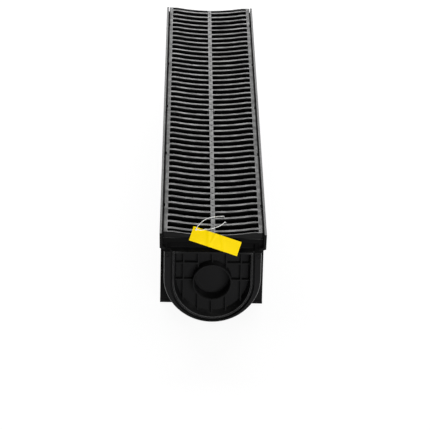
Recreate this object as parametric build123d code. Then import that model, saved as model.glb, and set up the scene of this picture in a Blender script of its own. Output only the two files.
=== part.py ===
"""Modular channel drain: moulded trough, lift-out grate, plug-in end cap with a knock-out
pipe stub, grate lock and a bare hang tag on its string.

Millimetres. X across the channel, Y along it (capped end at -Y), Z up, Z = 0 under the feet.
"""

import math
import os

from build123d import *

os.makedirs("parts", exist_ok=True)

# Channel, overall
LENGTH = 1000.0
RIM_HALF = 74.7
HEIGHT = 135.0

# Rim and its skirt, measured down from the top
RIM_WALL = 3.5
RIM_LEAN = 0.02
SKIRT_DEPTH = 22.0
TUCK_DEPTH = 24.7
TUCK_IN = 6.77
RIM_ROUND = 0.7

# Trough
NECK_IN = 3.0
NECK_DROP = 3.3
TROUGH_WALL = 3.0

# Seat of the grate
SEAT_DEPTH = 8.0
SEAT_BEARING = 2.5
SEAT_WALL_DEPTH = 17.5
SEAT_WALL_LEAN = 1.0

# Foot plates and side stiffeners of the trough
FOOT_COUNT = 7
FOOT_FIRST = 70.0
FOOT_THICK = 3.0
FOOT_SETBACK = 1.5
FOOT_PAD_LENGTH = 12.0
FOOT_PAD_THICK = 3.2
STIFFENER_Z = 75.0
STIFFENER_THICK = 2.5
JOINT_FLANGE = 6.0

# End cap
CAP_DROP = 2.8
CAP_WALL = 3.4
CAP_SKIN = 2.5
COLLAR_DEPTH = 18.0
CAP_FIT = 0.3
CAP_EDGE_ROUND = 1.4
LIP_ROUND = 0.6
FLANGE_WIDTH = 8.9
GROOVE_WIDTH = 3.4
GROOVE_DROP = 6.6
GROOVE_DEPTH = 6.0
GROOVE_WALL = 2.4
PAN_WALL = 2.2
PAN_DEPTH = 18.5
PAN_DRAFT = 3.0
BAND_SETBACK = 9.0
BAND_THICK = 2.8
BAND_GAP = 1.4
BAND_SEAM = 1.2
BAND_EDGE = 0.5
BAND_BEVEL_DEPTH = 1.6
BAND_POCKET_DEPTH = 8.0
BAND_POCKET_WALL = 1.5
STUB_Z = 60.3
STUB_RADIUS = 27.2
STUB_BORE_RADIUS = 25.15
STUB_SETBACK = 1.0
STUB_DEPTH = 24.0
STUB_LEAD = 0.85
KNOCKOUT_RADIUS = 23.2
KNOCKOUT_WIDTH = 1.2
KNOCKOUT_DEPTH = 0.9
RIB_THICK = 1.8
RIB_HEIGHT = 7.5
RIB_INNER_X = 19.7
RIB_OUTER_X = 40.4
RIB_UPPER_DROP = 21.9
PIN_IN = 4.45
PIN_DROP = 4.7
PIN_RADIUS = 2.2
PIN_MOAT = 1.1
PIN_MOAT_DEPTH = 1.5

# Grate
GRATE_FIT = 1.5
GRATE_FRONT_SETBACK = 7.7
GRATE_BACK_SETBACK = 2.0
RAIL_WIDTH = 5.6
RAIL_LEG_WIDTH = 1.9
BAR_COUNT = 43
BAR_WIDTH = 6.0
BAR_DEPTH = 14.0
BAR_FIRST = 14.5
DISH_DEPTH = 5.0
DISH_SHOULDER = 12.5
DISH_BLEND = 40.0
SPINE_WIDTH = 6.0
SPINE_DEPTH = 16.0
SPINE_TICK_LENGTH = 2.4
SPINE_TICK_WIDTH = 1.8
SPINE_TICK_DEPTH = 0.8
END_WALL_THICK = 2.4
END_WALL_DEPTH = 8.8
NOTCH_PITCH = 200.0
NOTCH_COUNT = 5
NOTCH_LENGTH = 11.0
NOTCH_IN = 1.7
NOTCH_DEPTH = 6.0
NUB_FIT = 0.4
NUB_REACH = 2.2
NUB_HEIGHT = 3.2

# Grate lock
BOSS_RADIUS = 6.6
HEAD_POCKET_RADIUS = 4.8
HEAD_POCKET_DEPTH = 3.2
HEAD_RADIUS = 3.6
HEAD_HEIGHT = 2.6
DRIVE_LENGTH = 4.4
DRIVE_WIDTH = 1.1
DRIVE_DEPTH = 1.4
SHANK_RADIUS = 2.5
SHANK_CLEAR = 0.25
THREAD_CLEAR = 0.1
LOCK_BAR_DROP = 11.5
LOCK_BAR_THICK = 3.0
LOCK_BAR_WIDTH = 20.0
LOCK_BAR_END_GAP = 0.5
LUG_REACH = 6.3
LUG_LENGTH = 28.0
LUG_HEIGHT = 7.0
SHANK_END_PAST_BAR = 4.0

# Hang tag and string
TAG_LENGTH = 70.4
TAG_WIDTH = 20.7
TAG_THICK = 0.5
TAG_CORNER_X = -27.4
TAG_TILT = 17.5
TAG_HOLE_ALONG = 4.6
TAG_HOLE_DOWN = 3.4
TAG_HOLE_RADIUS = 1.5
STRING_RADIUS = 0.5
STRAND_OFFSET = 0.75
KNOT_RADIUS = 1.9
KNOT_LENGTH = 2.6

FRONT = -LENGTH / 2
BACK = LENGTH / 2


def d_face(half, bottom, top):
    """A flat-topped face with a round bottom, as the trough and the cap have."""
    centre = bottom + half
    edges = [
        Line((half, centre), (half, top)),
        Line((half, top), (-half, top)),
        Line((-half, top), (-half, centre)),
        ThreePointArc((-half, centre), (0, bottom), (half, centre)),
    ]
    return make_face(edges)


def poly_face(points):
    return make_face(Polyline(*points, close=True))


def slab(face, y_from, y_to):
    """Stands a face drawn in X and Z upright and extrudes it along the channel."""
    return extrude(Pos(0, y_from, 0) * (Plane.XZ * face), amount=y_to - y_from, dir=(0, 1, 0))


def block(x_from, x_to, y_from, y_to, z_from, z_to):
    size = (x_to - x_from, y_to - y_from, z_to - z_from)
    middle = ((x_from + x_to) / 2, (y_from + y_to) / 2, (z_from + z_to) / 2)
    return Pos(*middle) * Box(*size)


def both_sides(shape):
    return shape + mirror(shape, about=Plane.YZ)


def round_corners(face, radius, wanted):
    """Rounds the corners of a face whose X and Z the test picks out."""
    corners = [v for v in face.vertices() if wanted(abs(v.X), v.Y)]
    return fillet(corners, radius)


# Values that follow from the sizes above
SKIRT_HALF = RIM_HALF - RIM_LEAN * SKIRT_DEPTH
TUCK_HALF = SKIRT_HALF - TUCK_IN
TROUGH_HALF = TUCK_HALF - NECK_IN
CAP_HALF = TROUGH_HALF + CAP_FIT + CAP_WALL
TROUGH_CENTRE_Z = CAP_HALF
TROUGH_INNER = TROUGH_HALF - TROUGH_WALL
TROUGH_OUTER_BOTTOM = TROUGH_CENTRE_Z - TROUGH_HALF
TROUGH_INNER_BOTTOM = TROUGH_CENTRE_Z - TROUGH_INNER
FOOT_HALF = RIM_HALF - FOOT_SETBACK
SEAT_Z = HEIGHT - SEAT_DEPTH
SEAT_WALL_Z = HEIGHT - SEAT_WALL_DEPTH
SKIRT_Z = HEIGHT - SKIRT_DEPTH
TUCK_Z = HEIGHT - TUCK_DEPTH
NECK_Z = TUCK_Z - NECK_DROP
CAP_HEIGHT = TUCK_Z - CAP_DROP
GROOVE_OUTER_HALF = CAP_HALF - FLANGE_WIDTH
GROOVE_INNER_HALF = GROOVE_OUTER_HALF - GROOVE_WIDTH
RIB_UPPER_Z = CAP_HEIGHT - RIB_UPPER_DROP
PIN_X = CAP_HALF - PIN_IN
PIN_Z = CAP_HEIGHT - PIN_DROP
LOCK_BAR_TOP = SEAT_WALL_Z - LOCK_BAR_DROP
BAND_FRONT = FRONT + BAND_SETBACK
BAND_BACK = BAND_FRONT + BAND_THICK
TROUGH_FRONT = FRONT + GROOVE_DEPTH + CAP_SKIN
GRATE_FRONT = FRONT + GRATE_FRONT_SETBACK
GRATE_BACK = BACK - GRATE_BACK_SETBACK
GRATE_MIDDLE = (GRATE_FRONT + GRATE_BACK) / 2
GRATE_HALF = RIM_HALF - RIM_WALL - RIM_LEAN * SEAT_DEPTH - GRATE_FIT
SEAT_HALF = GRATE_HALF - SEAT_BEARING
DISH_HALF = GRATE_HALF - DISH_SHOULDER
BAR_PITCH = (GRATE_BACK - GRATE_FRONT - 2 * BAR_FIRST) / (BAR_COUNT - 1)
BAR_Y = [GRATE_FRONT + BAR_FIRST + i * BAR_PITCH for i in range(BAR_COUNT)]
DISH_Z = HEIGHT - DISH_DEPTH
END_WALL_Z = HEIGHT - END_WALL_DEPTH
BAND_TOP = END_WALL_Z - BAND_SEAM
BAND_POCKET_Z = HEIGHT - SPINE_DEPTH - CAP_FIT - BAND_POCKET_WALL


def rim_inner_x(z):
    """X of the rim's inner face, which leans outwards towards the top."""
    return RIM_HALF - RIM_WALL - RIM_LEAN * (HEIGHT - z)


def tuck_inset(distance):
    """Where a line this far inside the tucked-in lower skirt meets the same distance inside
    the leaning rim, and where it ends beside the neck."""
    run, rise = SKIRT_HALF - TUCK_HALF, SKIRT_Z - TUCK_Z
    span = math.hypot(run, rise)
    low_x = TUCK_HALF - distance * rise / span
    low_z = TUCK_Z + distance * run / span
    inner_top = RIM_HALF - distance * math.hypot(1, RIM_LEAN)
    slope = run / rise
    meet_z = (inner_top - RIM_LEAN * HEIGHT - low_x + slope * low_z) / (slope - RIM_LEAN)
    meet_x = inner_top - RIM_LEAN * (HEIGHT - meet_z)
    return (meet_x, meet_z), (low_x, low_z)


def channel_outline():
    """The full section: rims, seat and trough in one skin."""
    seat_x = SEAT_HALF - SEAT_WALL_LEAN
    right_outer = [
        (TROUGH_HALF, TROUGH_CENTRE_Z),
        (TROUGH_HALF, NECK_Z),
        (TUCK_HALF, TUCK_Z),
        (SKIRT_HALF, SKIRT_Z),
        (RIM_HALF, HEIGHT),
        (RIM_HALF - RIM_WALL, HEIGHT),
        (rim_inner_x(SEAT_Z), SEAT_Z),
        (SEAT_HALF, SEAT_Z),
        (seat_x, SEAT_WALL_Z),
        (TROUGH_INNER, SEAT_WALL_Z - (seat_x - TROUGH_INNER)),
        (TROUGH_INNER, TROUGH_CENTRE_Z),
    ]
    left = [(-x, z) for x, z in right_outer]
    edges = [
        Polyline(*right_outer),
        ThreePointArc(right_outer[-1], (0, TROUGH_INNER_BOTTOM), left[-1]),
        Polyline(*reversed(left)),
        ThreePointArc(left[0], (0, TROUGH_OUTER_BOTTOM), right_outer[0]),
    ]
    face = make_face(edges)
    return round_corners(face, RIM_ROUND, lambda x, z: z > HEIGHT - 0.01)


def rim_strip():
    """What is left of the section beside the end cap: the rim's outer skin."""
    corner, low = tuck_inset(RIM_WALL)
    points = [
        (TUCK_HALF, TUCK_Z),
        (SKIRT_HALF, SKIRT_Z),
        (RIM_HALF, HEIGHT),
        (RIM_HALF - RIM_WALL, HEIGHT),
        corner,
        low,
    ]
    return round_corners(poly_face(points), RIM_ROUND, lambda x, z: z > HEIGHT - 0.01)


def wall_middle():
    """The trough's hollow, grown to the middle of its wall, so that what is added joins it."""
    return d_face(TROUGH_HALF - TROUGH_WALL / 2, TROUGH_OUTER_BOTTOM + TROUGH_WALL / 2, HEIGHT)


def foot_plates():
    first = FRONT + FOOT_FIRST
    step = (BACK - FOOT_FIRST - first) / (FOOT_COUNT - 1)
    fin_x = TUCK_HALF - NECK_IN / 2
    points = [(FOOT_HALF, 0), (FOOT_HALF, SKIRT_Z), (fin_x, SKIRT_Z), (fin_x, TUCK_Z)]
    plate = poly_face(points + [(-x, z) for x, z in reversed(points)]) - wall_middle()
    pad = Rectangle(2 * FOOT_HALF, FOOT_PAD_THICK, align=(Align.CENTER, Align.MIN))
    plates = []
    for i in range(FOOT_COUNT):
        y = first + i * step
        plates.append(slab(plate, y - FOOT_THICK / 2, y + FOOT_THICK / 2))
        plates.append(slab(pad, y - FOOT_PAD_LENGTH / 2, y + FOOT_PAD_LENGTH / 2))
    return plates


def snap_nub(y):
    """A ramped nub on the rim's inner face that holds the grate's notched rail down."""
    low = SEAT_Z + SEAT_DEPTH - NOTCH_DEPTH + NUB_FIT
    high = low + NUB_HEIGHT
    length = NOTCH_LENGTH - 4 * NUB_FIT
    tip = rim_inner_x(low) - NUB_REACH
    points = [
        (rim_inner_x(low) + RIM_WALL / 2, low),
        (tip, low),
        (tip, low + NUB_HEIGHT / 3),
        (rim_inner_x(high), high),
        (rim_inner_x(high) + RIM_WALL / 2, high),
    ]
    return slab(poly_face(points), y - length / 2, y + length / 2)


def notch_places():
    middle = (NOTCH_COUNT - 1) / 2
    return [GRATE_MIDDLE + (i - middle) * NOTCH_PITCH for i in range(NOTCH_COUNT)]


def lock_lug():
    """A lug on the trough's wall that the lock bar is pulled up against."""
    tip = TROUGH_INNER - LUG_REACH
    into_wall = TROUGH_INNER + TROUGH_WALL / 2
    points = [
        (into_wall, LOCK_BAR_TOP),
        (tip, LOCK_BAR_TOP),
        (tip, LOCK_BAR_TOP + LUG_HEIGHT / 3),
        (into_wall, LOCK_BAR_TOP + LUG_HEIGHT),
    ]
    return slab(poly_face(points), BAR_Y[BAR_COUNT // 2] - LUG_LENGTH / 2,
                BAR_Y[BAR_COUNT // 2] + LUG_LENGTH / 2)


def make_channel_body():
    body = slab(channel_outline(), BAND_BACK, BACK)
    mouth_top = CAP_HEIGHT - CAP_SKIN - CAP_FIT
    mouth = d_face(TROUGH_HALF, TROUGH_OUTER_BOTTOM, mouth_top)
    mouth = mouth - d_face(TROUGH_INNER, TROUGH_INNER_BOTTOM, HEIGHT)
    flange = d_face(CAP_HALF, 0, CAP_HEIGHT) - wall_middle()
    stiffener = block(TROUGH_HALF - TROUGH_WALL / 2, CAP_HALF, FRONT + FOOT_FIRST, BACK,
                      STIFFENER_Z, STIFFENER_Z + STIFFENER_THICK)
    extras = [
        slab(mouth, TROUGH_FRONT, BAND_BACK),
        both_sides(slab(rim_strip(), FRONT, BAND_BACK)),
        slab(flange, BACK - JOINT_FLANGE, BACK),
        both_sides(stiffener),
        both_sides(lock_lug()),
    ]
    extras += foot_plates()
    extras += [both_sides(snap_nub(y)) for y in notch_places()]
    return body + extras


def pan_solid(half, bottom, y_from, y_to, top):
    """The drafted pan of the cap, narrower towards the water."""
    shrink = PAN_DRAFT * (y_to - y_from) / PAN_DEPTH
    wide = Pos(0, y_from, 0) * (Plane.XZ * d_face(half, bottom, top))
    narrow = Pos(0, y_to, 0) * (Plane.XZ * d_face(half - shrink, bottom + shrink, top))
    return loft([wide, narrow], ruled=True)


def mouth_bevel(half, bottom, top):
    """Breaks the pan's front edge in two facets, close to a round."""
    sections = []
    for out, back in ((LIP_ROUND, 0), (0.3 * LIP_ROUND, 0.3 * LIP_ROUND), (0, LIP_ROUND)):
        grow = out - PAN_DRAFT * back / PAN_DEPTH
        outline = d_face(half + grow, bottom - grow, top + out)
        sections.append(Pos(0, FRONT + back, 0) * (Plane.XZ * outline))
    return loft(sections, ruled=True)


def cap_band():
    """The upper closing plate between the rims, with its lower corners cut to their tuck and a
    long finger pocket along its foot."""
    corner, low = tuck_inset(RIM_WALL + BAND_GAP)
    points = [
        (low[0], CAP_HEIGHT - CAP_SKIN / 2),
        low,
        corner,
        (rim_inner_x(BAND_TOP) - BAND_GAP, BAND_TOP),
    ]
    outline = poly_face(points + [(-x, z) for x, z in reversed(points)])
    band = slab(outline, BAND_FRONT, BAND_BACK)
    upper = [e for e in band.edges()
             if e.center().Y < BAND_FRONT + 0.01 and e.center().Z > BAND_TOP - 0.01]
    band = chamfer(upper, BAND_EDGE)

    half = TROUGH_INNER - BAND_GAP
    back = BAND_FRONT + BAND_POCKET_DEPTH
    wall = BAND_POCKET_WALL
    box = block(-half, half, BAND_FRONT + BAND_THICK / 2, back + wall, CAP_HEIGHT - CAP_SKIN / 2,
                BAND_POCKET_Z + wall)
    hollow = block(wall - half, half - wall, BAND_FRONT - 1, back, CAP_HEIGHT, BAND_POCKET_Z)
    side = Plane.YZ * poly_face([
        (BAND_FRONT, BAND_POCKET_Z + wall),
        (BAND_FRONT + BAND_BEVEL_DEPTH, CAP_HEIGHT),
        (BAND_FRONT, CAP_HEIGHT),
    ])
    reach = low[0] - BAND_GAP
    bevel = extrude(Pos(-reach, 0, 0) * side, amount=2 * reach, dir=(1, 0, 0))
    return band + box - hollow - bevel


def cap_ribs(pan_inside):
    """Stiffening ribs on the pan's floor, broken by the round stub."""
    front = FRONT + PAN_DEPTH - RIB_HEIGHT
    floor = FRONT + PAN_DEPTH + CAP_SKIN / 2
    half = RIB_THICK / 2
    ribs = [block(x - half, x + half, front, floor, 0, CAP_HEIGHT)
            for x in (-RIB_OUTER_X, -RIB_INNER_X, 0, RIB_INNER_X, RIB_OUTER_X)]
    ribs.append(block(-CAP_HALF, CAP_HALF, front, floor, STUB_Z - half, STUB_Z + half))
    for side in (-1, 1):
        ends = sorted((side * RIB_INNER_X, side * CAP_HALF))
        ribs.append(block(*ends, front, floor, RIB_UPPER_Z - half, RIB_UPPER_Z + half))
    return [rib & pan_inside for rib in ribs]


def half_of(edge):
    box = edge.bounding_box()
    return max(abs(box.min.X), abs(box.max.X))


def in_front(edge):
    box = edge.bounding_box()
    return max(abs(box.min.Y - FRONT), abs(box.max.Y - FRONT)) < LIP_ROUND / 10


def along_y(radius, x, z, y_from, y_to):
    return slab(Pos(x, z) * Circle(radius), y_from, y_to)


def make_end_cap():
    collar_back = FRONT + COLLAR_DEPTH
    ring_back = FRONT + GROOVE_DEPTH + CAP_SKIN
    ceiling = CAP_HEIGHT - CAP_SKIN
    outer = d_face(CAP_HALF, 0, CAP_HEIGHT)
    hollow_half = TROUGH_HALF + CAP_FIT
    hollow_bottom = TROUGH_OUTER_BOTTOM - CAP_FIT
    groove_bottom = CAP_HALF - GROOVE_DROP - GROOVE_OUTER_HALF
    lip_bottom = CAP_HALF - GROOVE_DROP - GROOVE_INNER_HALF

    tray = slab(outer, FRONT, collar_back)
    rounded = [e for e in tray.edges() if in_front(e) and e.center().Z < CAP_HEIGHT - LIP_ROUND]
    tray = fillet(rounded, CAP_EDGE_ROUND)
    tray = tray - slab(d_face(hollow_half, hollow_bottom, ceiling), FRONT + CAP_SKIN, collar_back)
    tray = tray - slab(d_face(hollow_half, hollow_bottom, HEIGHT), BAND_BACK, collar_back)
    tray = tray - block(-RIM_HALF, RIM_HALF, BAND_BACK, collar_back, NECK_Z - CAP_FIT, HEIGHT)

    ring_half = GROOVE_OUTER_HALF + GROOVE_WALL
    ring = d_face(ring_half, groove_bottom - GROOVE_WALL, ceiling + CAP_SKIN / 2) & outer
    cap = tray + slab(ring, FRONT + CAP_SKIN / 2, ring_back)
    groove = d_face(GROOVE_OUTER_HALF, groove_bottom, HEIGHT)
    groove = groove - d_face(GROOVE_INNER_HALF, lip_bottom, HEIGHT)
    cap = cap - slab(groove, FRONT - 1, FRONT + GROOVE_DEPTH)

    pan_back = FRONT + PAN_DEPTH + CAP_SKIN
    cap = cap + pan_solid(GROOVE_INNER_HALF, lip_bottom, FRONT, pan_back, ceiling + CAP_SKIN / 2)
    inside = pan_solid(GROOVE_INNER_HALF - PAN_WALL, lip_bottom + PAN_WALL, FRONT,
                       FRONT + PAN_DEPTH, ceiling)
    cap = cap - inside
    cap = cap - mouth_bevel(GROOVE_INNER_HALF - PAN_WALL, lip_bottom + PAN_WALL, ceiling)
    lip = [e for e in cap.edges() if in_front(e) and abs(half_of(e) - GROOVE_INNER_HALF) < LIP_ROUND]
    cap = fillet(lip, LIP_ROUND)
    cap = cap - block(-RIM_HALF, RIM_HALF, BAND_BACK, pan_back, NECK_Z - CAP_FIT, HEIGHT)
    for rib in cap_ribs(inside):
        cap = cap + rib
    floor = FRONT + STUB_SETBACK + STUB_DEPTH
    cap = cap + along_y(STUB_RADIUS, 0, STUB_Z, FRONT + STUB_SETBACK, floor + CAP_SKIN)
    cap = cap - along_y(STUB_BORE_RADIUS, 0, STUB_Z, FRONT - 1, floor)
    lead = [Pos(0, y, 0) * (Plane.XZ * (Pos(0, STUB_Z) * Circle(radius)))
            for y, radius in ((FRONT + STUB_SETBACK, STUB_BORE_RADIUS + STUB_LEAD),
                              (FRONT + STUB_SETBACK + 2 * STUB_LEAD, STUB_BORE_RADIUS))]
    cap = cap - loft(lead, ruled=True)
    score = Circle(KNOCKOUT_RADIUS + KNOCKOUT_WIDTH / 2) - Circle(KNOCKOUT_RADIUS - KNOCKOUT_WIDTH / 2)
    cap = cap - slab(Pos(0, STUB_Z) * score, floor, floor + KNOCKOUT_DEPTH)
    moat = Circle(PIN_RADIUS + PIN_MOAT) - Circle(PIN_RADIUS)
    cap = cap - both_sides(slab(Pos(PIN_X, PIN_Z) * moat, FRONT - 1, FRONT + PIN_MOAT_DEPTH))
    return cap + cap_band()


def grate_outline():
    """The grate's section: side rails, dished top and the flat underside of its bars."""
    inner = GRATE_HALF - RAIL_WIDTH
    bottom = HEIGHT - BAR_DEPTH
    points = [
        (DISH_HALF, HEIGHT),
        (GRATE_HALF, HEIGHT),
        (GRATE_HALF, SEAT_Z),
        (inner + RAIL_LEG_WIDTH, SEAT_Z),
        (inner + RAIL_LEG_WIDTH, bottom),
    ]
    left = [(-x, z) for x, z in points]
    edges = [
        Polyline(*points, *reversed(left)),
        ThreePointArc(left[0], (0, DISH_Z), points[0]),
    ]
    face = make_face(edges)
    return round_corners(face, DISH_BLEND, lambda x, z: abs(x - DISH_HALF) < 0.01 and z > DISH_Z)


def slot_cutters():
    """One long row of slots on each side of the spine, cut in a single pass."""
    inner = GRATE_HALF - RAIL_WIDTH
    width = inner - SPINE_WIDTH / 2
    middle = (inner + SPINE_WIDTH / 2) / 2
    starts = [GRATE_FRONT + END_WALL_THICK] + [y + BAR_WIDTH / 2 for y in BAR_Y]
    ends = [y - BAR_WIDTH / 2 for y in BAR_Y] + [GRATE_BACK - END_WALL_THICK]
    faces = []
    for start, end in zip(starts, ends):
        for side in (-1, 1):
            faces.append(Pos(side * middle, (start + end) / 2) * Rectangle(width, end - start))
    plan = Sketch() + faces
    return extrude(Pos(0, 0, HEIGHT - 2 * BAR_DEPTH) * plan, amount=3 * BAR_DEPTH)


def make_grate():
    grate = slab(grate_outline(), GRATE_FRONT, GRATE_BACK)
    spine_half = SPINE_WIDTH / 2
    grate = grate + block(-spine_half, spine_half, GRATE_FRONT, GRATE_BACK,
                          HEIGHT - SPINE_DEPTH, DISH_Z)
    grate = grate - slot_cutters()
    lock_y = BAR_Y[BAR_COUNT // 2]
    boss = Pos(0, lock_y, HEIGHT - SPINE_DEPTH) * Cylinder(
        BOSS_RADIUS, SPINE_DEPTH - DISH_DEPTH, align=(Align.CENTER, Align.CENTER, Align.MIN))
    grate = grate + boss

    clear = BAND_BACK - GRATE_FRONT + CAP_FIT
    low = HEIGHT - 2 * SPINE_DEPTH
    for y_from, y_to in ((GRATE_FRONT, GRATE_FRONT + clear), (GRATE_BACK - clear, GRATE_BACK)):
        grate = grate - block(-RIM_HALF, RIM_HALF, y_from, y_to, low, END_WALL_Z)

    ticks = [Pos(0, y) * Rectangle(SPINE_TICK_WIDTH, SPINE_TICK_LENGTH)
             for y in BAR_Y if abs(y - lock_y) > 1]
    grate = grate - extrude(Pos(0, 0, DISH_Z - SPINE_TICK_DEPTH) * (Sketch() + ticks),
                            amount=DISH_DEPTH)
    for y in notch_places():
        notch = block(GRATE_HALF - NOTCH_IN, RIM_HALF, y - NOTCH_LENGTH / 2, y + NOTCH_LENGTH / 2,
                      HEIGHT - NOTCH_DEPTH, HEIGHT + 1)
        grate = grate - both_sides(notch)
    pocket_z = DISH_Z - HEAD_POCKET_DEPTH
    bottom_up = (Align.CENTER, Align.CENTER, Align.MIN)
    grate = grate - Pos(0, lock_y, pocket_z) * Cylinder(HEAD_POCKET_RADIUS, HEIGHT - pocket_z,
                                                        align=bottom_up)
    grate = grate - Pos(0, lock_y, low) * Cylinder(SHANK_RADIUS + SHANK_CLEAR, HEIGHT - low,
                                                   align=bottom_up)
    return grate


def make_lock_screw():
    lock_y = BAR_Y[BAR_COUNT // 2]
    seat = DISH_Z - HEAD_POCKET_DEPTH
    end = LOCK_BAR_TOP - LOCK_BAR_THICK - SHANK_END_PAST_BAR
    bottom_up = (Align.CENTER, Align.CENTER, Align.MIN)
    head = Pos(0, lock_y, seat) * Cylinder(HEAD_RADIUS, HEAD_HEIGHT, align=bottom_up)
    shank = Pos(0, lock_y, end) * Cylinder(SHANK_RADIUS, seat - end, align=bottom_up)
    drive_z = seat + HEAD_HEIGHT - DRIVE_DEPTH
    drive = Rectangle(DRIVE_LENGTH, DRIVE_WIDTH) + Rectangle(DRIVE_WIDTH, DRIVE_LENGTH)
    recess = extrude(Pos(0, lock_y, drive_z) * drive, amount=DRIVE_DEPTH)
    return head + shank - recess


def make_lock_bar():
    lock_y = BAR_Y[BAR_COUNT // 2]
    half = TROUGH_INNER - LOCK_BAR_END_GAP
    strip = RectangleRounded(2 * half, LOCK_BAR_WIDTH, LOCK_BAR_THICK)
    strip = strip - Circle(SHANK_RADIUS + THREAD_CLEAR)
    return extrude(Pos(0, lock_y, LOCK_BAR_TOP - LOCK_BAR_THICK) * strip, amount=LOCK_BAR_THICK)


# Side view of the tag, which leans on the grate's front edge and on the top of the cap:
# its upper end, where it passes the grate's edge, and its lower end
TAG_TOP = (FRONT + 12.3, HEIGHT + 6.6)
TAG_PASS = (GRATE_FRONT - 0.85, DISH_Z + 1.5)
TAG_FOOT = (FRONT - 2.2, CAP_HEIGHT - 7.5)


def tag_curve():
    return ThreePointArc(TAG_TOP, TAG_PASS, TAG_FOOT)


def tag_point(along, down):
    """A point of the tag, from its place along the slanted strip and down from its top edge,
    with the direction that points out of its front."""
    tilt = math.radians(TAG_TILT)
    x = TAG_CORNER_X + along * math.cos(tilt) - down * math.sin(tilt)
    length_down = along * math.sin(tilt) + down * math.cos(tilt)
    curve = tag_curve()
    place = curve @ (length_down / curve.length)
    course = curve % (length_down / curve.length)
    return Vector(x, place.X, place.Y), Vector(0, course.Y, -course.X)


def tag_skin(offset):
    """The tag's side view moved out by a distance, from its top to its foot."""
    curve = tag_curve()
    points = []
    for share in (0, 0.5, 1):
        course = curve % share
        points.append(curve @ share + Vector(course.Y, -course.X) * offset)
    return points


def make_hang_tag():
    corners = [(0, 0), (TAG_LENGTH, 0), (TAG_LENGTH, TAG_WIDTH), (0, TAG_WIDTH)]
    places = [tag_point(*corner)[0] for corner in corners]
    outer = tag_skin(TAG_THICK / 2)
    inner = tag_skin(-TAG_THICK / 2)
    section = make_face([
        ThreePointArc(*outer),
        Line(outer[-1], inner[-1]),
        ThreePointArc(*reversed(inner)),
        Line(inner[0], outer[0]),
    ])
    sheet = extrude(Pos(-TAG_LENGTH, 0, 0) * (Plane.YZ * section), amount=2 * TAG_LENGTH,
                    dir=(1, 0, 0))
    outline = poly_face([(p.X, p.Z) for p in places])
    tag = sheet & slab(outline, FRONT - LENGTH / 20, FRONT + LENGTH / 20)
    hole, out = tag_point(TAG_HOLE_ALONG, TAG_HOLE_DOWN)
    drill = Plane(origin=hole, z_dir=out) * Cylinder(TAG_HOLE_RADIUS, 8 * TAG_THICK)
    return tag - drill


def knot_plane():
    """Behind the knot: just in front of the tag's hole, facing out."""
    hole, out = tag_point(TAG_HOLE_ALONG, TAG_HOLE_DOWN)
    return Plane(origin=hole + out * (TAG_THICK / 2 + CAP_FIT / 3), x_dir=(1, 0, 0), z_dir=out)


def make_tag_knot():
    plane = knot_plane()
    barrel = Cylinder(KNOT_RADIUS, KNOT_LENGTH, align=(Align.CENTER, Align.CENTER, Align.MIN))
    far = barrel.edges().group_by(Axis.Z)[-1]
    return plane * fillet(far, KNOT_RADIUS / 2)


# The string's course from the tag's hole, over the front bars, under the third bar and back.
# The third number is the height over the top of the rim.
STRING_COURSE = [
    (-24.8, -486.3, 0.5),
    (-19.5, -482.2, -0.5),
    (-11.5, -480.0, -0.6),
    (-1.0, -476.4, -0.6),
    (9.0, -469.1, -0.5),
    (15.3, -458.4, -0.4),
    (18.0, -448.7, -2.4),
    (18.8, -444.6, -10.5),
    (18.6, -441.4, -17.8),
    (17.8, -432.0, -20.2),
    (17.0, -423.0, -17.4),
    (16.6, -420.3, -10.0),
    (16.2, -423.4, -2.1),
    (13.4, -430.6, 0.0),
    (5.0, -434.0, 0.6),
    (-4.5, -438.5, 1.0),
    (-13.5, -449.5, 1.6),
    (-19.3, -463.0, 2.0),
    (-22.2, -474.5, 1.8),
    (-22.9, -481.0, 0.9),
    (-23.3, -486.3, 0.5),
]


def string_route():
    """Both ends leave the knot's flat back squarely, side by side."""
    plane = knot_plane()
    route = [Vector(x, y, HEIGHT + rise) for x, y, rise in STRING_COURSE]
    start = plane.origin + Vector(-STRAND_OFFSET, 0, 0)
    end = plane.origin + Vector(STRAND_OFFSET, 0, 0)
    route[0] = start - plane.z_dir * (route[0] - start).length
    route[-1] = end - plane.z_dir * (route[-1] - end).length
    return [start] + route + [end]


def string_radii(points):
    radii = []
    for before, here, after in zip(points, points[1:], points[2:]):
        shorter = min((here - before).length, (after - here).length)
        half_turn = math.radians((here - before).get_angle(after - here)) / 2
        radii.append(0.45 * shorter / math.tan(half_turn))
    return radii


def make_tag_string():
    points = string_route()
    radii = string_radii(points)
    path = FilletPolyline(*points, radius=radii)
    mouth = Plane(origin=path @ 0, z_dir=path % 0) * Circle(STRING_RADIUS)
    string = sweep(mouth, path=path)
    area = math.pi * STRING_RADIUS ** 2
    print("string radii", [round(r, 1) for r in radii])
    print("string length", round(path.length, 1), "volume share",
          round(string.volume / (area * path.length), 4))
    return string


PIECES = {
    "channel_body": make_channel_body,
    "grate": make_grate,
    "end_cap": make_end_cap,
    "lock_screw": make_lock_screw,
    "lock_bar": make_lock_bar,
    "hang_tag": make_hang_tag,
    "tag_string": make_tag_string,
    "tag_knot": make_tag_knot,
}

for name, make in PIECES.items():
    export_step(make(), f"parts/{name}.step")
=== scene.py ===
"""Looks for a channel drain: black moulded plastic, a coated screw, a zinc plated lock strip,
and a blank yellow tag on a white string."""

import math

import bpy
from bpy.props import FloatProperty, FloatVectorProperty, PointerProperty
from mathutils import Matrix, Vector


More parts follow.
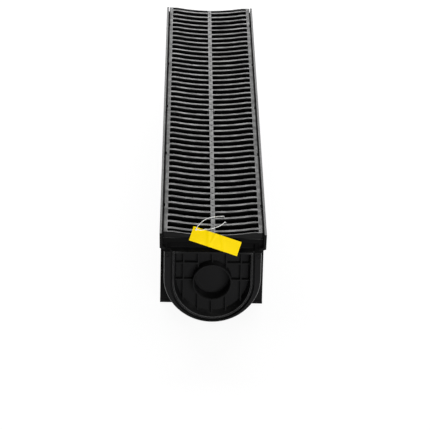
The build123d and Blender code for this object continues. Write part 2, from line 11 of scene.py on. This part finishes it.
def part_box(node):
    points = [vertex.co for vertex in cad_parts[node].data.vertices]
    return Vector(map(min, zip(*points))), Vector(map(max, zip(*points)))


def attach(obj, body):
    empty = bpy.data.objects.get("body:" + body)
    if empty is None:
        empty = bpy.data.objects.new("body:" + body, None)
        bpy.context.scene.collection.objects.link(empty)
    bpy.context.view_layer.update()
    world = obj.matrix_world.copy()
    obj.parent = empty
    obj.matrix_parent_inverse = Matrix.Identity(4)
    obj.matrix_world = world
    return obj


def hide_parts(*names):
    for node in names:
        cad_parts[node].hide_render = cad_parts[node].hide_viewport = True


bl_info = {
    "name": "Channel drain looks",
    "version": (1, 0, 0),
    "blender": (4, 5, 0),
    "location": "View3D > Sidebar > Drain",
    "description": "Materials, tag, string and studio for a channel drain",
    "category": "Object",
}

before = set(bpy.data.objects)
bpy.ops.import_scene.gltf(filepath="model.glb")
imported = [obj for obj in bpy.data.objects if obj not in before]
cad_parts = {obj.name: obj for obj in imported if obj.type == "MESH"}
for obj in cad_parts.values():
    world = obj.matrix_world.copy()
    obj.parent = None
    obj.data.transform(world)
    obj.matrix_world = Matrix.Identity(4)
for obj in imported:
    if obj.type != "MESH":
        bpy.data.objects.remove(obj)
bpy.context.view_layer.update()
MM = 0.001

# The camera that took the picture, worked out from the drain's own proportions
CAMERA_PLACE = (-48.8 * MM, -3641.0 * MM, 1502.4 * MM)
CAMERA_YAW = math.radians(0.923)
CAMERA_PITCH = math.radians(23.073)
CAMERA_ROLL = math.radians(1.296)
IMAGE_SIZE = 430
FOCAL_PIXELS = 2466.6
SENSOR_WIDTH = 36.0
VIEW_END = 60.0

# The studio's lights: name, place, aim, width and height, and the setting that holds the power
LIGHTS = (
    ("back_light", (0.0, 3.6, 1.7), (0.0, 0.2, 0.1), (4.5, 2.2), "back_power"),
    ("front_light", (0.9, -4.3, 0.5), (0.0, -0.4, 0.1), (2.2, 0.8), "front_power"),
    ("left_light", (-2.2, 0.3, 0.55), (0.0, -0.3, 0.1), (2.4, 0.9), "side_power"),
    ("right_light", (2.2, 0.3, 0.55), (0.0, -0.3, 0.1), (2.4, 0.9), "side_power"),
)

# The floor: its own grey and roughness, and the strength and share of the white glow that only
# the camera sees on it
FLOOR_GREY = (0.80, 0.80, 0.80, 1)
FLOOR_ROUGHNESS = 0.9
FLOOR_GLOW = 1.2
FLOOR_GLOW_SHARE = 0.75

# The string's way in millimetres: from the knot over the tag's upper edge, round the third bar
# and back to the knot
STRING_POINTS = [
    (-23.5, -490.8, 138.3),
    (-19.0, -491.2, 137.7),
    (-15.0, -491.8, 137.5),
    (-11.5, -490.6, 138.7),
    (-7.0, -484.2, 135.2),
    (-1.0, -476.4, 133.6),
    (9.0, -469.1, 133.8),
    (15.3, -458.4, 134.6),
    (18.0, -448.7, 132.6),
    (18.8, -444.6, 124.5),
    (18.6, -441.4, 117.2),
    (17.8, -432.0, 114.8),
    (17.0, -423.0, 117.6),
    (16.8, -420.8, 123.0),
    (16.2, -424.0, 129.9),
    (13.4, -432.0, 133.5),
    (5.0, -435.5, 134.4),
    (-3.0, -440.0, 135.0),
    (-11.3, -450.5, 136.0),
    (-16.9, -463.0, 136.8),
    (-20.0, -474.5, 137.4),
    (-22.0, -484.5, 140.2),
    (-22.6, -489.2, 141.4),
    (-23.2, -490.5, 140.2),
    (-23.9, -490.9, 138.3),
]

# The order and steps of the string's curve and how round each strand is drawn
STRING_ORDER = 3
STRING_STEPS = 10
STRAND_FACETS = 3

# The tag in millimetres. Its side view is its upper end, where it passes the grate's edge, and
# its lower end, and its hole's place is along it and down from its top edge
TAG_SIDE = ((-487.7, 141.6), (-493.15, 131.5), (-502.2, 100.0))
TAG_CORNER = -27.4
TAG_TILT = math.radians(17.5)
TAG_LENGTH = 70.4
TAG_WIDTH = 20.7
TAG_THICK = 0.4
TAG_HOLE = (4.6, 3.4)
TAG_HOLE_RADIUS = 1.5

# The grid that the tag is bent from, and the round punch that makes its hole
TAG_GRID = (88, 24)
PUNCH_SIDES = 28
PUNCH_DEPTH = 8.0
SMOOTH_ANGLE = math.radians(35)

# Soft folds across the tag: place along it, how far it rises, width and slant
TAG_FOLDS = (
    (25.5, 0.75, 2.4, 0.30),
    (31.0, 0.45, 1.5, -0.20),
    (46.5, 0.60, 3.2, 0.45),
)

# The curl of the tag's free end, with its share at the top edge, and the ripple of the long edges
CURL_LENGTH = 16.0
CURL_HEIGHT = 1.3
CURL_TOP_SHARE = 0.4
RIPPLE_HEIGHT = 0.18
RIPPLE_PACE = 4.3

# The grate's rails, the rims beside them, and how far a change of finish fades
RAIL_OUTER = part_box("grate")[1].x
RAIL_INNER = RAIL_OUTER - 5.6 * MM
RIM_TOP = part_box("channel_body")[1].z
RIM_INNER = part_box("channel_body")[1].x - 3.5 * MM
EDGE_FADE = 1.0 * MM

# Grime along the joint of rail and rim: where it starts and ends, from each one's edge
RAIL_GRIME = (1.44 * MM, 0.54 * MM)
RIM_GRIME = (0.27 * MM, 0.90 * MM)

# How much glossier the grate is where feet have polished it
TRODDEN_GLOSS = 0.16

# The end cap's rubbed edges, partly wear and partly a painted highlight, as the middle of its
# round part and the distances from there at which they start and are full, and the foot of the
# band over the D
CAP_WEAR_AND_HIGHLIGHT = (68.2 * MM, 34.0 * MM, 72.0 * MM)
BAND_FOOT = 107.6 * MM

# The knot: its half width, how flat it lies, how far over the hole it sits, how many points it
# has and its pulled strand's radius as a share of the string's thickness
KNOT_HALF = 1.15
KNOT_FLATNESS = 0.42
KNOT_RISE = 1.0
KNOT_POINTS = 60
KNOT_STRAND = 0.46


class Socket:
    """A shader value that Python's operators turn into Math nodes."""

    def __init__(self, tree, output):
        self.tree = tree
        self.output = output

    def math(self, operation, *others):
        """A Math node on this value and the others."""
        node = self.tree.nodes.new("ShaderNodeMath")
        node.operation = operation
        for place, value in enumerate((self, *others)):
            wire(self.tree, node.inputs[place], value)
        return Socket(self.tree, node.outputs[0])

    def flipped(self, operation, other):
        """A Math node with this value as its second one."""
        node = self.tree.nodes.new("ShaderNodeMath")
        node.operation = operation
        wire(self.tree, node.inputs[0], other)
        wire(self.tree, node.inputs[1], self)
        return Socket(self.tree, node.outputs[0])

    def __add__(self, other):
        return self.math("ADD", other)

    def __radd__(self, other):
        return self.math("ADD", other)

    def __sub__(self, other):
        return self.math("SUBTRACT", other)

    def __rsub__(self, other):
        return self.flipped("SUBTRACT", other)

    def __mul__(self, other):
        return self.math("MULTIPLY", other)

    def __rmul__(self, other):
        return self.math("MULTIPLY", other)

    def __pow__(self, other):
        return self.math("POWER", other)

    def between(self, low, high):
        """0 below low, 1 above high and smooth between."""
        node = self.tree.nodes.new("ShaderNodeMapRange")
        node.interpolation_type = "SMOOTHSTEP"
        wire(self.tree, node.inputs["Value"], self)
        node.inputs["From Min"].default_value = low
        node.inputs["From Max"].default_value = high
        return Socket(self.tree, node.outputs["Result"])


def wire(tree, target, value):
    """Links a socket to a value's node, or sets it to a plain value."""
    if isinstance(value, Socket):
        tree.links.new(value.output, target)
    else:
        target.default_value = value


class Finish:
    """A material under construction: its node tree and the few nodes every finish needs."""

    def __init__(self, name, **constants):
        self.material = bpy.data.materials.new(name)
        self.material.use_nodes = True
        self.tree = self.material.node_tree
        self.shader = self.tree.nodes["Principled BSDF"]
        for socket, value in constants.items():
            self.shader.inputs[socket.replace("_", " ")].default_value = value
        self.places = self.node("ShaderNodeTexCoord", "Object")

    def node(self, kind, result, settings=None, **values):
        """Adds a node, sets it up, wires its sockets and gives back one of its outputs."""
        made = self.tree.nodes.new(kind)
        for setting, value in (settings or {}).items():
            setattr(made, setting, value)
        for socket, value in values.items():
            wire(self.tree, made.inputs[socket.replace("_", " ")], value)
        return Socket(self.tree, made.outputs[result])

    def noise(self, scale, detail=3.0, roughness=0.55, stretch=None):
        """Noise from 0 to 1 over the piece, stretched where it ran along a mould or a roller."""
        places = self.places
        if stretch:
            places = self.node("ShaderNodeMapping", "Vector", Vector=places, Scale=stretch)
        return self.node("ShaderNodeTexNoise", "Fac", Vector=places, Scale=scale, Detail=detail,
                         Roughness=roughness)

    def mix(self, share, first, second):
        """The first colour, with this share of the second one. A Mix node's colour sockets are
        found by their numbers, because its other kinds have the same names."""
        made = self.tree.nodes.new("ShaderNodeMix")
        made.data_type = "RGBA"
        wire(self.tree, made.inputs[0], share)
        for place, colour in ((6, first), (7, second)):
            value = colour if isinstance(colour, Socket) else (*colour, 1)
            wire(self.tree, made.inputs[place], value)
        return Socket(self.tree, made.outputs[2])

    def facing_up(self):
        """1 where the surface faces up."""
        normal = self.node("ShaderNodeNewGeometry", "Normal")
        return self.node("ShaderNodeSeparateXYZ", "Z", Vector=normal)

    def height(self):
        """Height over the ground."""
        return self.node("ShaderNodeSeparateXYZ", "Z", Vector=self.places)

    def across(self):
        """Place across the drain, from its middle plane."""
        return self.node("ShaderNodeSeparateXYZ", "X", Vector=self.places)

    def side(self):
        """Distance from the drain's middle plane."""
        return self.across().math("ABSOLUTE")

    def front_edges(self):
        """1 on the rounded edges where a front or back face turns to the side, up or down."""
        normal = self.node("ShaderNodeTexCoord", "Normal")
        along = self.node("ShaderNodeSeparateXYZ", "Y", Vector=normal) ** 2.0
        return (along * (1.0 - along) * 4.0).between(0.3, 0.85)

    def outward(self, middle, near, far):
        """0 near the middle of the end cap's D and 1 at its outer edge."""
        drop = (self.height() - middle).math("MINIMUM", 0.0)
        return ((self.across() ** 2.0 + drop ** 2.0) ** 0.5).between(near, far)

    def bump(self, height, distance, strength=1.0):
        """Raises the surface by a pattern, up to a distance."""
        normal = self.node("ShaderNodeBump", "Normal", Height=height, Distance=distance,
                           Strength=strength)
        self.set(Normal=normal)

    def set(self, **links):
        """Wires values to the shader's sockets."""
        for socket, value in links.items():
            wire(self.tree, self.shader.inputs[socket.replace("_", " ")], value)


def circle_through(first, second, third):
    """Middle and radius of the circle through three points of a plane."""
    (ax, ay), (bx, by), (cx, cy) = first, second, third
    span = 2 * (ax * (by - cy) + bx * (cy - ay) + cx * (ay - by))
    squares = [x * x + y * y for x, y in (first, second, third)]
    middle = (
        (squares[0] * (by - cy) + squares[1] * (cy - ay) + squares[2] * (ay - by)) / span,
        (squares[0] * (cx - bx) + squares[1] * (ax - cx) + squares[2] * (bx - ax)) / span,
    )
    return middle, math.dist(middle, first)


def tag_place(along, down, out=0.0):
    """A point of the tag and the direction out of its front, from the place along the tag, down
    from its top edge and out from its even curve."""
    middle, radius = circle_through(*TAG_SIDE)
    start = math.atan2(TAG_SIDE[0][1] - middle[1], TAG_SIDE[0][0] - middle[0])
    end = math.atan2(TAG_SIDE[2][1] - middle[1], TAG_SIDE[2][0] - middle[0])
    turn = math.copysign(1.0, math.remainder(end - start, math.tau))
    lower = along * math.sin(TAG_TILT) + down * math.cos(TAG_TILT)
    angle = start + turn * lower / radius
    outward = Vector((0.0, math.cos(angle), math.sin(angle)))
    if outward.y > 0:
        outward.negate()
    x = TAG_CORNER + along * math.cos(TAG_TILT) - down * math.sin(TAG_TILT)
    place = Vector((x, middle[0] + radius * math.cos(angle), middle[1] + radius * math.sin(angle)))
    return MM * (place + out * outward), outward


def tag_rise(along, down):
    """How far the creased film stands out from its even curve."""
    rise = 0.0
    for place, height, width, slant in TAG_FOLDS:
        across = (along - place - slant * (down - TAG_WIDTH / 2)) / width
        rise += height * math.exp(-across * across)
    curl = max(0.0, along - TAG_LENGTH + CURL_LENGTH) / CURL_LENGTH
    curl_share = CURL_TOP_SHARE + (1.0 - CURL_TOP_SHARE) * down / TAG_WIDTH
    edge = (2.0 * down / TAG_WIDTH - 1.0) ** 2
    ripple = RIPPLE_HEIGHT * (1.0 + math.sin(along / RIPPLE_PACE)) * edge
    return rise + CURL_HEIGHT * curl ** 2 * curl_share + ripple


def finish_with(thing, kind, **settings):
    """Adds a modifier to a piece and applies it."""
    modifier = thing.modifiers.new(kind.title(), kind)
    for setting, value in settings.items():
        setattr(modifier, setting, value)
    bpy.ops.object.select_all(action="DESELECT")
    thing.select_set(True)
    bpy.context.view_layer.objects.active = thing
    bpy.ops.object.modifier_apply(modifier=modifier.name)


class Moulded(Finish):
    """Black moulded plastic: fine grain, faint flow marks, what faces up dusted and painted paler
    as a sheen, and rubbed edges painted paler both as wear and as a highlight. A piece may have
    less gloss and be paler than the settings' plastic."""

    def __init__(self, name, settings, dust, grain, gloss=1.0, pale=1.0):
        super().__init__(name, Specular_IOR_Level=settings.black_specular * gloss)
        # The rubbed colour paints the edges paler, partly as wear and partly as a highlight.
        self.rubbed = tuple(pale * c for c in settings.rubbed)
        self.clouds = self.noise(scale=38.0, detail=4.0)
        self.flow = self.noise(scale=9.0, roughness=0.6, stretch=(1.0, 0.16, 1.0))
        black = tuple(pale * c for c in settings.black)
        # Upward faces are dusted, and this grey also paints the sheen that light lays on them.
        dust_and_sheen_mask = self.facing_up().between(0.55, 0.98) * self.clouds.between(0.25, 0.85) * dust
        warm = self.mix(self.flow.between(0.35, 0.7) * 0.5, black, tuple(1.35 * c for c in black))
        self.colour = self.mix(dust_and_sheen_mask, warm, tuple(settings.dust))
        uneven = (self.clouds - 0.5) * 0.10
        self.rough = settings.black_roughness + uneven + (self.flow - 0.5) * 0.10
        specks = self.noise(scale=900.0, detail=2.0, roughness=0.7)
        self.bump(specks * 0.6 + self.clouds * 0.4, grain)

    def done(self, worn, matt=0.0):
        """Sets the colour, paler on the rounded edges where worn, partly as wear and partly as a
        painted highlight, and the gloss, lower where matt.
        """
        # Painted highlight and wear: the rounded edges get the paler rubbed colour in clouds.
        rubbed = self.front_edges() * self.clouds.between(0.1, 0.5) * worn
        self.set(Base_Color=self.mix(rubbed, self.colour, self.rubbed))
        self.set(Roughness=self.rough + matt)
        return self.material


def channel_plastic(settings):
    """Satin on the rims' tops, which feet and boxes rub, and matt from there down and along the
    joint with the grate."""
    finish = Moulded("channel_plastic", settings, dust=0.55, grain=0.10 * MM)
    side = finish.side()
    matt = 1.0 - finish.height().between(RIM_TOP - 1.5 * MM, RIM_TOP - 0.5 * MM)
    joint = 1.0 - side.between(RIM_INNER + RIM_GRIME[0], RIM_INNER + RIM_GRIME[1])
    return finish.done(worn=0.5, matt=matt.math("MAXIMUM", joint) * 0.4)


def grate_plastic(settings):
    """Satin bars, unevenly polished by feet, between slightly duller rails whose outer edges are
    matt with grime."""
    finish = Moulded("grate_plastic", settings, dust=1.0, grain=0.12 * MM)
    side = finish.side()
    rails = side.between(RAIL_INNER, RAIL_INNER + EDGE_FADE)
    joint = side.between(RAIL_OUTER - RAIL_GRIME[0], RAIL_OUTER - RAIL_GRIME[1])
    trodden = finish.noise(scale=85.0, detail=2.0, roughness=0.6).between(0.35, 0.68) - 0.5
    matt = rails * 0.09 + joint * 0.42 - trodden * TRODDEN_GLOSS
    return finish.done(worn=0.6, matt=matt)


def cap_plastic(settings):
    """A little paler and less glossy than the rest, with its outer edge painted paler as wear and
    as a highlight, clean towards the stub, and painted shade darkening the band over the D, which
    is a little more matt."""
    finish = Moulded("cap_plastic", settings, dust=0.5, grain=0.08 * MM, gloss=0.55, pale=1.45)
    band = finish.height().between(BAND_FOOT, BAND_FOOT + EDGE_FADE)
    # Painted shade: the band over the D is darkened to 0.4 of the plastic's colour.
    finish.colour = finish.mix(band, finish.colour, tuple(0.4 * c for c in settings.black))
    # Rubbed edges, partly wear and partly a painted highlight, strongest at the D's outer edge and
    # weaker on the band.
    worn = finish.outward(*CAP_WEAR_AND_HIGHLIGHT) * (1.0 - band * 0.6)
    return finish.done(worn=worn, matt=band * 0.1)


def screw_black(settings):
    """Black coating, thin in specks."""
    finish = Finish("screw_coated", Metallic=0.35, Specular_IOR_Level=0.4)
    worn = finish.noise(scale=700.0).between(0.55, 0.75)
    finish.set(Base_Color=finish.mix(worn * 0.5, tuple(settings.screw), (0.16, 0.16, 0.16)))
    finish.set(Roughness=0.42 + worn * 0.12)
    finish.bump(finish.noise(scale=1800.0), distance=0.03 * MM)
    return finish.material


def zinc_plated(settings):
    """Rolled strip with a fine spangle."""
    finish = Finish("zinc_plated", Metallic=1.0)
    rolled = finish.noise(scale=60.0, detail=4.0, roughness=0.6, stretch=(0.08, 1.0, 1.0))
    spangle = finish.node("ShaderNodeTexVoronoi", "Distance", Vector=finish.places, Scale=220.0)
    pale = tuple(settings.zinc)
    dull = tuple(0.72 * c for c in pale)
    finish.set(Base_Color=finish.mix(rolled.between(0.3, 0.8), pale, dull))
    finish.set(Roughness=0.34 + spangle * 0.14)
    finish.bump(rolled, distance=0.04 * MM)
    return finish.material


def yellow_film(settings):
    """Yellow film, a little rubbed and creased, with nothing on it."""
    finish = Finish("yellow_film", Specular_IOR_Level=0.06)
    rubbed = finish.noise(scale=46.0, detail=4.0)
    crease = finish.noise(scale=120.0, detail=2.0, roughness=0.4, stretch=(1.0, 0.3, 0.3))
    yellow = tuple(settings.tag)
    pale = (yellow[0], 1.12 * yellow[1], yellow[2])
    finish.set(Base_Color=finish.mix(rubbed.between(0.45, 0.8) * 0.35, yellow, pale))
    finish.set(Roughness=0.46 + rubbed * 0.14)
    finish.bump(crease, distance=0.3 * MM, strength=0.5)
    return finish.material


def white_twine(settings):
    """White twine with a fine lay."""
    finish = Finish("white_twine", Roughness=0.75, Specular_IOR_Level=0.3, Sheen_Weight=0.2)
    lay = finish.node("ShaderNodeTexWave", "Fac", {"bands_direction": "DIAGONAL"},
                      Vector=finish.places, Scale=520.0, Distortion=1.5)
    white = tuple(settings.string)
    finish.set(Base_Color=finish.mix(lay * 0.3, white, tuple(0.8 * c for c in white)))
    finish.bump(lay, distance=0.08 * MM)
    return finish.material


def dress(node, material):
    """Puts a finish on one of the part's own pieces."""
    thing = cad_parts[node]
    thing.data.materials.clear()
    thing.data.materials.append(material)


class DrainFinishes(bpy.types.PropertyGroup):
    black: FloatVectorProperty(name="Plastic", description="Colour of the moulded plastic",
                               subtype="COLOR", default=(0.0065, 0.0065, 0.0067), min=0, max=1)
    # Upward faces are dusted, and this colour also paints a sheen on them.
    dust: FloatVectorProperty(name="Dust", description="Colour of the dust on upward faces",
                              subtype="COLOR", default=(0.085, 0.085, 0.083), min=0, max=1)
    # The rubbed edges' colour: partly wear and partly a painted highlight.
    rubbed: FloatVectorProperty(name="Rubbed edges", description="Colour of the handled edges",
                                subtype="COLOR", default=(0.12, 0.12, 0.12), min=0, max=1)
    black_roughness: FloatProperty(name="Plastic roughness", description="Middle roughness",
                                   default=0.42, min=0, max=1)
    black_specular: FloatProperty(name="Plastic gloss", description="Specular level",
                                  default=0.09, min=0, max=1)
    screw: FloatVectorProperty(name="Screw", description="Colour of the screw's coating",
                               subtype="COLOR", default=(0.02, 0.02, 0.021), min=0, max=1)
    zinc: FloatVectorProperty(name="Zinc", description="Colour of the zinc plating",
                              subtype="COLOR", default=(0.60, 0.60, 0.58), min=0, max=1)
    tag: FloatVectorProperty(name="Tag", description="Colour of the blank tag",
                             subtype="COLOR", default=(1.0, 0.72, 0.0), min=0, max=1)
    string: FloatVectorProperty(name="String", description="Colour of the string",
                                subtype="COLOR", default=(0.93, 0.93, 0.91), min=0, max=1)


class DrainString(bpy.types.PropertyGroup):
    thickness: FloatProperty(name="Thickness", description="Diameter of the string",
                             unit="LENGTH", default=1.0 * MM)


class DrainStage(bpy.types.PropertyGroup):
    back_power: FloatProperty(name="Back light", description="Power of the light behind the drain",
                              unit="POWER", default=200.0)
    side_power: FloatProperty(name="Side lights", description="Power of the light on each side",
                              unit="POWER", default=30.0)
    front_power: FloatProperty(name="Front light", description="Power of the light by the camera",
                               unit="POWER", default=130.0)
    fill: FloatProperty(name="Fill", description="Strength of the room's light", default=0.05)
    floor_reach: FloatProperty(name="Floor", description="Half the width of the floor",
                               unit="LENGTH", default=14.0)


class DRAIN_OT_mouldings(bpy.types.Operator):
    """Gives the channel, grate and end cap their moulded plastic"""

    bl_idname = "drain.mouldings"
    bl_label = "Mouldings"

    def execute(self, context):
        settings = context.scene.drain_finishes
        dress("channel_body", channel_plastic(settings))
        dress("grate", grate_plastic(settings))
        dress("end_cap", cap_plastic(settings))
        return {"FINISHED"}


class DRAIN_OT_lock(bpy.types.Operator):
    """Gives the lock screw its coating and the lock bar its zinc"""

    bl_idname = "drain.lock"
    bl_label = "Grate lock"

    def execute(self, context):
        settings = context.scene.drain_finishes
        dress("lock_screw", screw_black(settings))
        dress("lock_bar", zinc_plated(settings))
        return {"FINISHED"}


class DRAIN_OT_tag(bpy.types.Operator):
    """Makes the blank, softly creased tag"""

    bl_idname = "drain.tag"
    bl_label = "Blank tag"

    def execute(self, context):
        bpy.ops.mesh.primitive_grid_add(x_subdivisions=TAG_GRID[0],
                                        y_subdivisions=TAG_GRID[1], size=1.0)
        film = context.object
        film.name = "tag_film"
        for vertex in film.data.vertices:
            along = (vertex.co.x + 0.5) * TAG_LENGTH
            down = (0.5 - vertex.co.y) * TAG_WIDTH
            vertex.co = tag_place(along, down, tag_rise(along, down))[0]
        finish_with(film, "SOLIDIFY", thickness=TAG_THICK * MM, offset=0.0)
        hole, outward = tag_place(*TAG_HOLE)
        lying = outward.to_track_quat("Z", "Y")
        bpy.ops.mesh.primitive_cylinder_add(vertices=PUNCH_SIDES, radius=TAG_HOLE_RADIUS * MM,
                                            depth=PUNCH_DEPTH * MM, location=hole,
                                            rotation=lying.to_euler())
        punch = context.object
        finish_with(film, "BOOLEAN", operation="DIFFERENCE", object=punch)
        bpy.data.objects.remove(punch)
        film.data.materials.clear()
        film.data.materials.append(yellow_film(context.scene.drain_finishes))
        bpy.ops.object.shade_smooth_by_angle(angle=SMOOTH_ANGLE)
        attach(film, "root")
        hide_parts("hang_tag")
        return {"FINISHED"}


class DRAIN_OT_string(bpy.types.Operator):
    """Lays the string from its knot, round the third bar and back"""

    bl_idname = "drain.string"
    bl_label = "String and knot"

    def execute(self, context):
        finish = white_twine(context.scene.drain_finishes)
        thickness = context.scene.drain_string.thickness
        curve = bpy.data.curves.new("string", "CURVE")
        curve.dimensions = "3D"
        curve.bevel_depth = thickness / 2
        curve.bevel_resolution = STRAND_FACETS
        curve.resolution_u = STRING_STEPS
        curve.use_fill_caps = True
        line = curve.splines.new("NURBS")
        line.points.add(len(STRING_POINTS) - 1)
        for point, place in zip(line.points, STRING_POINTS):
            point.co = (*(MM * value for value in place), 1.0)
        line.order_u = STRING_ORDER
        line.use_endpoint_u = True
        string = bpy.data.objects.new("string", curve)
        context.collection.objects.link(string)
        string.data.materials.append(finish)
        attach(string, "root")
        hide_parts("tag_string")
        knot = self.knot(context, thickness, finish)
        return {"FINISHED"}

    def knot(self, context, thickness, finish):
        """An overhand knot pulled flat over the tag's hole."""
        hole, outward = tag_place(*TAG_HOLE)
        bpy.ops.mesh.primitive_circle_add(vertices=KNOT_POINTS, radius=1.0)
        knot = context.object
        knot.name = "knot"
        lying = outward.to_track_quat("Z", "Y")
        for place, vertex in enumerate(knot.data.vertices):
            turn = math.tau * place / KNOT_POINTS
            loop = Vector((math.sin(turn) + 2 * math.sin(2 * turn),
                           math.cos(turn) - 2 * math.cos(2 * turn),
                           -3 * KNOT_FLATNESS * math.sin(3 * turn)))
            vertex.co = hole + lying @ (MM * (KNOT_HALF / 3 * loop + Vector((0, 0, KNOT_RISE))))
        bpy.ops.object.convert(target="CURVE")
        knot.data.bevel_depth = KNOT_STRAND * thickness
        knot.data.bevel_resolution = STRAND_FACETS
        bpy.ops.object.convert(target="MESH")
        bpy.ops.object.shade_smooth()
        knot.data.materials.append(finish)
        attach(knot, "root")
        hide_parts("tag_knot")
        return knot


class DRAIN_OT_stage(bpy.types.Operator):
    """Sets up the floor, the lights, the white background and the camera"""

    bl_idname = "drain.stage"
    bl_label = "Studio"

    def execute(self, context):
        settings = context.scene.drain_stage
        self.floor(settings)
        self.world(context.scene, settings)
        for name, place, aim, size, power in LIGHTS:
            self.lamp(name, place, aim, size, getattr(settings, power))
        self.camera(context.scene)
        context.scene.view_settings.view_transform = "Standard"
        return {"FINISHED"}

    def floor(self, settings):
        """A pale floor that takes the drain's shadow and looks white to the camera."""
        bpy.ops.mesh.primitive_plane_add(size=2 * settings.floor_reach, location=(0, 0, 0))
        floor = bpy.context.object
        floor.name = "floor"
        material = bpy.data.materials.new("studio_floor")
        material.use_nodes = True
        nodes, links = material.node_tree.nodes, material.node_tree.links
        shader = nodes["Principled BSDF"]
        shader.inputs["Base Color"].default_value = FLOOR_GREY
        shader.inputs["Roughness"].default_value = FLOOR_ROUGHNESS
        shader.inputs["Specular IOR Level"].default_value = 0.0
        glow = nodes.new("ShaderNodeEmission")
        glow.inputs["Strength"].default_value = FLOOR_GLOW
        blend = nodes.new("ShaderNodeMixShader")
        path = nodes.new("ShaderNodeLightPath")
        share = Socket(material.node_tree, path.outputs["Is Camera Ray"]) * FLOOR_GLOW_SHARE
        wire(material.node_tree, blend.inputs[0], share)
        links.new(shader.outputs[0], blend.inputs[1])
        links.new(glow.outputs[0], blend.inputs[2])
        links.new(blend.outputs[0], nodes["Material Output"].inputs["Surface"])
        floor.data.materials.append(material)

    def world(self, scene, settings):
        """White to the camera, and a faint even light to everything else."""
        world = bpy.data.worlds.new("studio")
        world.use_nodes = True
        tree = world.node_tree
        back = tree.nodes["Background"]
        path = tree.nodes.new("ShaderNodeLightPath")
        seen = Socket(tree, path.outputs["Is Camera Ray"])
        wire(tree, back.inputs["Strength"], seen * (1.0 - settings.fill) + settings.fill)
        back.inputs["Color"].default_value = (1, 1, 1, 1)
        scene.world = world

    def lamp(self, name, place, target, size, power):
        """A soft rectangular light aimed at a point."""
        light = bpy.data.lights.new(name, "AREA")
        light.shape = "RECTANGLE"
        light.size, light.size_y = size
        light.energy = power
        thing = bpy.data.objects.new(name, light)
        bpy.context.collection.objects.link(thing)
        thing.location = place
        aim = Vector(target) - Vector(place)
        thing.rotation_euler = aim.to_track_quat("-Z", "Y").to_euler()

    def camera(self, scene):
        """The picture's own viewpoint."""
        data = bpy.data.cameras.new("camera")
        data.sensor_width = SENSOR_WIDTH
        data.lens = FOCAL_PIXELS / IMAGE_SIZE * data.sensor_width
        data.clip_end = VIEW_END
        camera = bpy.data.objects.new("camera", data)
        bpy.context.collection.objects.link(camera)
        turn = (Matrix.Rotation(-CAMERA_YAW, 4, "Z")
                @ Matrix.Rotation(math.pi / 2 - CAMERA_PITCH, 4, "X")
                @ Matrix.Rotation(CAMERA_ROLL, 4, "Z"))
        camera.location = CAMERA_PLACE
        camera.rotation_euler = turn.to_euler()
        scene.camera = camera


class DRAIN_PT_panel(bpy.types.Panel):
    """Lists the steps and the settings"""

    bl_label = "Channel drain"
    bl_space_type = "VIEW_3D"
    bl_region_type = "UI"
    bl_category = "Drain"

    def draw(self, context):
        layout = self.layout
        for operator in OPERATORS:
            layout.operator(operator.bl_idname)
        for group in GROUPS:
            settings = getattr(context.scene, group)
            for name in settings.__annotations__:
                layout.prop(settings, name)


OPERATORS = (DRAIN_OT_stage, DRAIN_OT_tag, DRAIN_OT_string, DRAIN_OT_mouldings, DRAIN_OT_lock)
GROUPS = {
    "drain_finishes": DrainFinishes,
    "drain_string": DrainString,
    "drain_stage": DrainStage,
}


def register():
    for item in (*GROUPS.values(), *OPERATORS, DRAIN_PT_panel):
        bpy.utils.register_class(item)
    for name, group in GROUPS.items():
        setattr(bpy.types.Scene, name, PointerProperty(type=group))


def unregister():
    for name in GROUPS:
        delattr(bpy.types.Scene, name)
    for item in reversed((*GROUPS.values(), *OPERATORS, DRAIN_PT_panel)):
        bpy.utils.unregister_class(item)


def main():
    register()
    bpy.ops.object.select_all(action="DESELECT")
    bpy.ops.drain.stage()
    bpy.ops.drain.tag()
    bpy.ops.drain.string()
    bpy.ops.drain.mouldings()
    bpy.ops.drain.lock()


if __name__ == "__main__":
    main()
